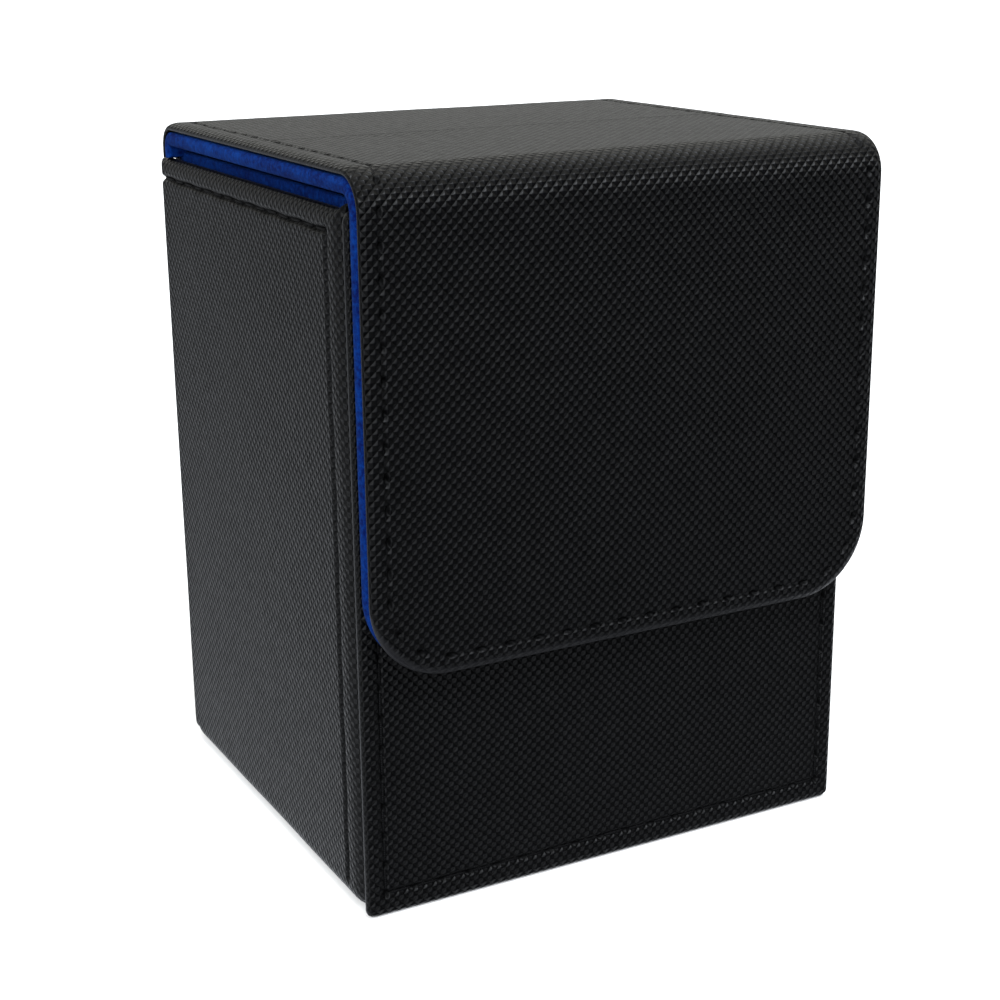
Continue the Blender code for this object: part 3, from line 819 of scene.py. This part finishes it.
def add_side_seams(sheet):
    """A seam on each side of the box, below its rim and down beside its front edge."""
    low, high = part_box("wrap_leather")
    side_low, side_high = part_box("left_stitching")
    length = sheet.length
    seam_y = low.y + SIDE_SEAM_FROM_FRONT
    seam_end = high.z - side_low.z
    bottom = high.z - low.z
    down = marks_along_line(SIDE_SEAM_FROM_RIM, seam_end)
    over = marks_along_line(seam_y, side_high.y)
    fold = even(bottom - REAR_BOTTOM_R, bottom + 1.5 * SIDE_BOTTOM_R, FOLD_CELL)
    for turn in (lambda s: s, lambda s: length - s):
        sheet.runs.append([(y, turn(SIDE_SEAM_FROM_RIM)) for y in reversed(over)])
        sheet.runs.append([(seam_y, turn(s)) for s in down])
        sheet.along_marks += [turn(s) for s in hole_lines(down) + seam_lines(SIDE_SEAM_FROM_RIM) + fold]
    sheet.across_marks += hole_lines(over) + [low.y + d for d in seam_lines(SIDE_SEAM_FROM_FRONT)]
    sheet.across_marks += even(high.y - REAR_BOTTOM_R, high.y, FOLD_CELL)

    def seam_offset(across, along):
        from_rim = np.minimum(along, length - along)
        offset = np.minimum(across - seam_y, from_rim - SIDE_SEAM_FROM_RIM)
        return offset + np.sign(offset + 1e-9) * np.clip(from_rim - seam_end, 0, None)

    sheet.seam_offset = seam_offset
    sheet.valley_depth = RIM_VALLEY_DEPTH
    sheet.thread_depth = THREAD_BELOW_RIM


def make_wrap():
    """Left side, bottom and right side in one strip of leather over board."""
    low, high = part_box("wrap_leather")
    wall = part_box("left_liner")[0].x - low.x - WALL_TO_LINER
    side = (high.z - low.z - SIDE_BOTTOM_R, 0)
    fold = (QUARTER, SIDE_BOTTOM_R)
    bottom = (high.x - low.x - 2 * SIDE_BOTTOM_R, 0)
    path = make_path((low.x, high.z), DOWN, [side, fold, bottom, fold, side])
    edges = four_edges(WRAP_FRONT, WRAP_REAR, WRAP_RIM, WRAP_RIM)
    sheet = Sheet(path, low.y, high.y, wall, edges, over_x=False)
    add_side_seams(sheet)
    sheet.unevenness = WRAP_UNEVENNESS
    sheet.finish = lambda points: flare_front_corners(round_rear_bottom(points))
    stand_in(sheet.build("wrap_skin", LEATHER), "box", "body_leather", "wrap_leather")
    half = len(sheet.runs) // 2
    for side, runs in (("left", sheet.runs[:half]), ("right", sheet.runs[half:])):
        thread = stitch_runs_mesh(f"{side}_seam", sheet, runs, THREAD, seed=f"{side}_seam")
        stand_in(thread, "box", "thread", f"{side}_stitching")


def add_panel_seam(sheet, top, from_end):
    """A seam round a panel: a rectangle with a needle hole at each corner."""
    left = sheet.low + PANEL_SEAM_FROM_EDGE
    right = sheet.high - PANEL_SEAM_FROM_EDGE
    bottom = sheet.length - from_end
    level = marks_along_line(left, right)
    upright = marks_along_line(top, bottom)
    sheet.runs = [
        [(u, top) for u in level],
        [(right, s) for s in upright],
        [(u, bottom) for u in reversed(level)],
        [(left, s) for s in reversed(upright)],
    ]
    beside = seam_lines(PANEL_SEAM_FROM_EDGE)
    sheet.across_marks += [sheet.low + d for d in beside] + [sheet.high - d for d in beside]
    sheet.across_marks += hole_lines(level)
    sheet.along_marks += seam_lines(top) + [sheet.length - d for d in seam_lines(from_end)]
    sheet.along_marks += hole_lines(upright)
    sheet.seam_offset = lambda across, along: np.minimum.reduce(
        [across - left, right - across, along - top, bottom - along]
    )
    sheet.valley_depth = PANEL_VALLEY_DEPTH


def finish_panel(sheet, name):
    """The front or back panel's leather and its stitches."""
    sheet.unevenness = PANEL_UNEVENNESS
    stand_in(sheet.build(f"{name}_skin", LEATHER), "box", "body_leather", f"{name}_leather")
    thread = stitch_runs_mesh(f"{name}_seam", sheet, sheet.runs, THREAD, seed=f"{name}_seam")
    stand_in(thread, "box", "thread", f"{name}_stitching")


def make_front():
    low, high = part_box("front_leather")
    path = make_path((low.y, high.z), DOWN, [(high.z - low.z, 0)])
    edges = four_edges(FRONT_SIDE, FRONT_SIDE, FRONT_TOP, FRONT_BOTTOM)
    sheet = Sheet(path, low.x, high.x, high.y - low.y, edges)
    add_panel_seam(sheet, PANEL_SEAM_FROM_EDGE, PANEL_SEAM_FROM_BOTTOM)
    sheet.add_corners(PANEL_CORNER_R, (1, 1), (-1, 1), (1, -1), (-1, -1))
    finish_panel(sheet, "front")


def make_back():
    low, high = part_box("back_leather")
    path = make_path((high.y, low.z), UP, [(high.z - low.z, 0)])
    edges = four_edges(BACK_SIDE, BACK_SIDE, BACK_SIDE, BACK_TOP)
    sheet = Sheet(path, low.x, high.x, high.y - low.y, edges)
    add_panel_seam(sheet, PANEL_SEAM_FROM_EDGE, SIDE_SEAM_FROM_RIM)
    finish_panel(sheet, "back")


def liner_box(node):
    """A liner's CAD box, with its top just under the lid, or at the rim for the back one."""
    low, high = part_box(node)
    if node in ("left_liner", "right_liner"):
        high.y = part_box("rear_fold_lining")[1].y - LINER_TO_STRAP
    if node == "back_liner":
        high.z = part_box("wrap_leather")[1].z + LINER_OVER_RIM
    elif node != "floor_liner":
        high.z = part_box("lid_lining")[0].z - LINER_TO_LID
    return low, high


def make_liners():
    """Blue cloth over the inside of the sides, the front, the back and the floor."""
    places = {
        "left_liner": (DOWN, False), "right_liner": (UP, False), "front_liner": (DOWN, True),
        "back_liner": (UP, True), "floor_liner": (RIGHT, False),
    }
    for node, (angle, over_x) in places.items():
        low, high = liner_box(node)
        near, far = (low.y, high.y) if over_x else (low.x, high.x)
        width = (low.x, high.x) if over_x else (low.y, high.y)
        starts = {DOWN: (near, high.z), UP: (far, low.z), RIGHT: (near, low.z)}
        lengths = (high.z - low.z, far - near)
        run, thickness = reversed(lengths) if angle == RIGHT else lengths
        path = make_path(starts[angle], angle, [(run, 0)])
        sheet = Sheet(path, *width, thickness, four_edges(*[LINER_EDGE] * 4), over_x=over_x)
        if angle != RIGHT:
            top = -1 if angle == DOWN else 1
            sheet.add_corners(LINER_CORNER_R, (-1, top), (1, top))
        stand_in(sheet.build(f"{node}_cloth", CLOTH), "box", "liner_cloth", node)


# The strap: the lid's strip of leather, from its tail in the back panel over the lid and down the flap


class StrapPlaces:
    """Distances along the strap at which it changes, for the leather or for the lining under it. Its rear
    part ends and its front part starts on the lid, at the frame's Y of 0."""

    def __init__(self, leather):
        nodes = ("rear_fold_leather", "lid_leather", "front_fold_leather", "flap_leather")
        if not leather:
            nodes = tuple(name.replace("leather", "lining") for name in nodes)
        rear, lid, front, flap = (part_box(name) for name in nodes)
        self.low_x, self.high_x = lid[0].x, lid[1].x
        self.thickness = lid[1].z - lid[0].z
        rear_radius = rear[1].y - rear[0].y
        front_radius = front[1].y - front[0].y
        tail = rear[1].z - rear_radius - rear[0].z
        self.rear_moves = [(QUARTER, rear_radius), (rear[0].y, 0)]
        if tail > MM:
            self.rear_moves.insert(0, (tail, 0))
        self.rear_start = (rear[1].y, rear[0].z)
        self.rear_arc = (tail, tail + QUARTER * rear_radius)
        to_fold = -front[1].y
        self.front_moves = [(to_fold, 0), (QUARTER, front_radius), (front[0].z - flap[0].z, 0)]
        self.front_start = (0.0, rear[1].z)
        self.front_arc = (to_fold, to_fold + QUARTER * front_radius)


def make_folds():
    """Two points across each of the strap's folds: at the rear from the box to the lid, and at the front
    from the lid to the flap. Each pair is a slanting step across the fold."""
    under_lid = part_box("lid_lining")[0].z
    flap_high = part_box("flap_lining")[1]
    rear_end = Vector((0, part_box("rear_fold_lining")[0].y, under_lid))
    rear_start = rear_end - Vector((0, -1, 1)).normalized() * REAR_BEND
    front_start = Vector((0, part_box("front_fold_lining")[1].y, under_lid))
    slant = Vector((0, -1, -1)).normalized()
    front_bend = (Vector((0, flap_high.y, flap_high.z)) - front_start).dot(slant)
    return (rear_start, rear_end), (front_start, front_start + slant * front_bend)


def narrow_tail(sheet, shoulder):
    """Makes the tail narrower below its shoulders, to go between the sides."""
    back_low, back_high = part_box("back_leather")
    narrow_low = back_low.x + TAIL_INSET
    narrow_high = back_high.x - TAIL_INSET
    low_end = shoulder - SHOULDER_BELOW
    high_end = shoulder + SHOULDER_ABOVE

    def reshape(across, along):
        place = (across - sheet.low) / (sheet.high - sheet.low)
        tail = narrow_low + place * (narrow_high - narrow_low)
        return tail + smooth_share(along, low_end, high_end) * (across - tail), along

    sheet.along_marks += [low_end - 0.01 * MM, shoulder - 0.15 * MM, high_end]
    sheet.reshape = reshape


def make_rear_strap():
    """The leather from its tail in the back panel, round the rear fold and over half of the lid."""
    places = StrapPlaces(leather=True)
    path = make_path(places.rear_start, UP, places.rear_moves)
    edges = four_edges(STRAP_SIDE, STRAP_SIDE, LINER_EDGE, SQUARE)
    sheet = Sheet(path, places.low_x, places.high_x, places.thickness, edges)
    add_fold_lines(sheet, places.rear_arc, 0.5 * FOLD_CELL)
    narrow_tail(sheet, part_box("back_leather")[1].z + SHOULDER_ABOVE - places.rear_start[1])
    seam_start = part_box("lid_stitching_left")[1].y
    first = places.rear_arc[1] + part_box("rear_fold_leather")[0].y - seam_start
    marks = [sheet.length + mark for mark in lid_marks() if mark <= LID_OVERLAP]
    add_strap_lines(sheet, marks)
    sheet.runs = side_runs(sheet, LID_SEAM_FROM_EDGE, marks)

    def seam_offset(across, along):
        offset = np.minimum(across - sheet.low, sheet.high - across) - LID_SEAM_FROM_EDGE
        return offset + np.sign(offset + 1e-9) * np.clip(first - along, 0, None)

    sheet.seam_offset = seam_offset
    skin = sheet.build("rear_strap_skin", LEATHER_STRAP)
    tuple(REAR_FOLD[0])
    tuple(REAR_FOLD[1])
    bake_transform(skin)
    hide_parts("rear_fold_leather", "lid_leather")


def lid_marks():
    """Needle holes along the lid, as distances along the strap from the frame's Y of 0."""
    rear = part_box("lid_stitching_left")[1].y
    return marks_along_line(-rear, -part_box("front_fold_leather")[1].y)


def add_fold_lines(sheet, arc, cell):
    """Close lines over a fold and a little beyond it."""
    sheet.along_marks += even(arc[0] - FOLD_MARGIN, arc[1] + FOLD_MARGIN, cell)


def add_strap_lines(sheet, marks):
    """What both parts of the strap share: lines at the needle holes and over the seam down each side."""
    beside = even(FLAP_SEAM_FROM_EDGE - SEAM_MARGIN, LID_SEAM_FROM_EDGE + SEAM_MARGIN, SEAM_CELL)
    sheet.across_marks += [sheet.low + d for d in beside] + [sheet.high - d for d in beside]
    sheet.along_marks += hole_lines(marks)
    sheet.valley_depth = STRAP_VALLEY_DEPTH
    sheet.unevenness = STRAP_UNEVENNESS


def side_runs(sheet, inset, marks):
    """A row of needle holes down the left side of the strap, and one down the right side."""
    return [[(sheet.low + inset, s) for s in marks], [(sheet.high - inset, s) for s in marks]]


def flap_run(sheet, margin, fold_marks):
    """Needle holes from the front fold down the flap's left side, round its end and up its right side."""
    radius = FLAP_CORNER_R - FLAP_SEAM_FROM_EDGE
    corner_start = sheet.length - FLAP_CORNER_R
    down = [(margin(s), s) for s in fold_marks[:-1]]
    for distance in marks_along_line(0.0, radius * QUARTER):
        turn = distance / radius
        down.append((FLAP_CORNER_R - radius * math.cos(turn), corner_start + radius * math.sin(turn)))
    bottom = marks_along_line(sheet.low + FLAP_CORNER_R, sheet.high - FLAP_CORNER_R)
    sheet.across_marks += hole_lines(bottom)
    left = [(sheet.low + inset, s) for inset, s in down[:-1]]
    end = [(u, sheet.length - FLAP_SEAM_FROM_EDGE) for u in bottom[:-1]]
    return left + end + [(sheet.high - inset, s) for inset, s in reversed(down)]


def make_front_strap():
    """The leather over the rest of the lid and down the flap, and all the strap's stitches."""
    places = StrapPlaces(leather=True)
    path = make_path(places.front_start, LEFT, places.front_moves)
    edges = four_edges(STRAP_SIDE, STRAP_SIDE, SQUARE, STRAP_END)
    sheet = Sheet(path, places.low_x, places.high_x, places.thickness, edges)
    arc_start, arc_end = places.front_arc
    add_fold_lines(sheet, places.front_arc, FOLD_CELL)
    sheet.add_corners(FLAP_CORNER_R, (1, 1), (-1, 1))

    def margin(along):
        share = smooth_share(along, arc_start, arc_end)
        return LID_SEAM_FROM_EDGE + share * (FLAP_SEAM_FROM_EDGE - LID_SEAM_FROM_EDGE)

    def seam_offset(across, along):
        inset = np.minimum(across - sheet.low, sheet.high - across) - margin(along)
        return np.minimum(inset, sheet.length - along - FLAP_SEAM_FROM_EDGE)

    marks = [mark for mark in lid_marks() if mark >= -LID_OVERLAP]
    fold_marks = marks_along_line(arc_start, sheet.length - FLAP_CORNER_R)
    add_strap_lines(sheet, marks + fold_marks)
    sheet.along_marks += [sheet.length - d for d in seam_lines(FLAP_SEAM_FROM_EDGE)]
    around = flap_run(sheet, margin, fold_marks)
    sheet.runs = [around, *side_runs(sheet, LID_SEAM_FROM_EDGE, marks)]
    sheet.seam_offset = seam_offset
    sheet.valley_share = lambda along: 1 - smooth_share(along, arc_start, arc_end)
    sheet.end_rim = FLAP_RIM
    skin = sheet.build("front_strap_skin", LEATHER_STRAP)
    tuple(FRONT_FOLD[0])
    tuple(FRONT_FOLD[1])
    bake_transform(skin)
    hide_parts("front_fold_leather", "flap_leather")
    thread = stitch_runs_mesh("flap_seam", sheet, [around], THREAD, seed="flap_seam")
    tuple(FRONT_FOLD[0])
    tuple(FRONT_FOLD[1])
    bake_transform(thread)
    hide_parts("flap_stitching")
    for side, run in zip(("left", "right"), side_runs(sheet, LID_SEAM_FROM_EDGE, lid_marks())):
        thread = stitch_runs_mesh(f"lid_seam_{side}", sheet, [run], THREAD, seed=f"lid_seam_{side}")
        stand_in(thread, "lid", "thread", f"lid_stitching_{side}")


def make_linings():
    """The blue cloth under the strap: rear fold and half of the lid, then the rest and the flap."""
    places = StrapPlaces(leather=False)
    leather_low, leather_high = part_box("lid_leather")
    width = (leather_low.x - LINING_PROUD, leather_high.x)
    rim_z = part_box("wrap_leather")[1].z + LINING_OVER_RIM
    tail = places.rear_start[1] - rim_z
    path = make_path((places.rear_start[0], rim_z), UP, [(tail, 0), *places.rear_moves])
    rear = Sheet(path, *width, places.thickness, four_edges(LINING_SIDE, LINING_SIDE, LINING_TAIL, SQUARE))
    rear.along_marks += even(0.0, tail + places.rear_arc[1] + FOLD_MARGIN, 0.4 * FOLD_CELL)
    piece = rear.build("rear_strap_lining", CLOTH)
    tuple(REAR_FOLD[0])
    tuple(REAR_FOLD[1])
    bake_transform(piece)
    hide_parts("rear_fold_lining", "lid_lining")

    path = make_path(places.front_start, LEFT, places.front_moves)
    front = Sheet(path, *width, places.thickness, four_edges(LINING_SIDE, LINING_SIDE, SQUARE, LINING_SIDE))
    add_fold_lines(front, places.front_arc, FOLD_CELL)
    front.add_corners(FLAP_CORNER_R, (1, 1), (-1, 1))
    piece = front.build("front_strap_lining", CLOTH)
    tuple(FRONT_FOLD[0])
    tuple(FRONT_FOLD[1])
    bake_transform(piece)
    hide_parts("front_fold_lining", "flap_lining")


def finish_hidden_nodes():
    """Boards and magnets keep their CAD shape and get their own materials."""
    for name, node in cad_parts.items():
        if name.endswith("_board") or "_magnet_" in name:
            node.data.materials.clear()
            node.data.materials.append(BOARD if name.endswith("_board") else STEEL)


# Stage, lights and camera


def make_floor():
    work = bmesh.new()
    bmesh.ops.create_grid(work, x_segments=8, y_segments=8, size=FLOOR_HALF_WIDTH)
    mesh = bpy.data.meshes.new("floor")
    work.to_mesh(mesh)
    work.free()
    mesh.materials.append(make_floor_finish("floor_finish"))
    floor = bpy.data.objects.new("floor", mesh)
    floor.location = (0, 0, CAD_BOX[0].z - FLOOR_GAP)
    floor.visible_glossy = False
    floor.visible_diffuse = False
    floor.visible_shadow = False
    bpy.context.scene.collection.objects.link(floor)


def direction(azimuth, elevation):
    """A unit vector from the object towards a place: azimuth 0 is in front and -90 is on the left."""
    a, e = math.radians(azimuth), math.radians(elevation)
    return Vector((math.sin(a) * math.cos(e), -math.cos(a) * math.cos(e), math.sin(e)))


def make_softbox(name, way, width, radiance, colour):
    """A round soft light, far away, that looks as wide as its angle in degrees from the object."""
    data = bpy.data.lights.new(name, "SUN")
    data.angle = math.radians(width)
    data.energy = radiance * 2 * math.pi * (1 - math.cos(data.angle / 2))
    data.color = colour
    light = bpy.data.objects.new(name, data)
    light.rotation_euler = (-direction(*way)).to_track_quat("-Z", "Y").to_euler()
    bpy.context.scene.collection.objects.link(light)


def make_world():
    """A white backdrop, which only the camera sees, and a glow that lights the object. In front the glow
    fades from the upper left down to the lower right. Behind it is weakest at the horizon."""
    world = bpy.data.worlds.new("studio")
    bpy.context.scene.world = world
    world.use_nodes = True
    n = Nodes(world.node_tree)
    place = n.add("ShaderNodeTexCoord").outputs["Generated"]
    share = n.ramp(n.dot(place, FADE_AXIS), (0.0, 1.0), FADE_REACH)
    front = n.ramp(n.math("POWER", share, FADE_POWER), (GLOW_DARKEST, GLOW_BRIGHTEST))
    behind = n.ramp(n.dot(place, (0.0, 1.0, 0.0)), (0.0, 1.0), BEHIND_REACH, "SMOOTHSTEP")
    up_way = n.dot(place, (0.0, 0.0, 1.0))
    back = n.ramp(n.math("ABSOLUTE", up_way), GLOW_BEHIND, GLOW_BEHIND_REACH)
    warmth = n.math("MULTIPLY", behind, n.ramp(up_way, (0.0, 1.0), WARM_REACH))
    colour = n.mix(warmth, (*COOL_LIGHT, 1.0), (*WARM_LIGHT, 1.0))
    strength = n.mix_value(behind, front, back)
    glow = n.add("ShaderNodeBackground", (("Color", colour), ("Strength", strength))).outputs[0]
    backdrop = n.add("ShaderNodeBackground", (("Color", WHITE),)).outputs[0]
    seen = n.add("ShaderNodeLightPath").outputs["Is Camera Ray"]
    shown = n.add("ShaderNodeMixShader", enumerate((seen, glow, backdrop))).outputs[0]
    n.feed(world.node_tree.nodes["World Output"].inputs["Surface"], shown)


def make_lights():
    make_world()
    make_softbox("top_light", TOP_LIGHT_WAY, TOP_LIGHT_WIDTH, TOP_LIGHT_RADIANCE, COOL_LIGHT)
    bpy.context.scene.view_settings.view_transform = "Standard"


def make_camera():
    back = direction(CAMERA_AZIMUTH, CAMERA_ELEVATION)
    data = bpy.data.cameras.new("camera")
    data.lens = CAMERA_LENS
    data.sensor_width = CAMERA_SENSOR
    data.clip_start = CAMERA_NEAREST
    camera = bpy.data.objects.new("camera", data)
    turn = (-back).to_track_quat("-Z", "Y").to_matrix().to_4x4()
    roll = Matrix.Rotation(math.radians(CAMERA_ROLL), 4, "Z")
    camera.matrix_world = Matrix.Translation(CAMERA_PLACE) @ turn @ roll
    bpy.context.scene.collection.objects.link(camera)
    bpy.context.scene.camera = camera


LEATHER = make_leather("body_leather")
LEATHER_STRAP = make_leather("strap_leather")
CLOTH = make_cloth("liner_cloth")
THREAD = make_thread("thread")
BOARD = make_greyboard("greyboard")
STEEL = make_steel("magnet_steel")

REAR_FOLD, FRONT_FOLD = make_folds()
make_wrap()
make_front()
make_back()
make_liners()
make_rear_strap()
make_front_strap()
make_linings()
finish_hidden_nodes()
make_floor()
make_lights()
make_camera()
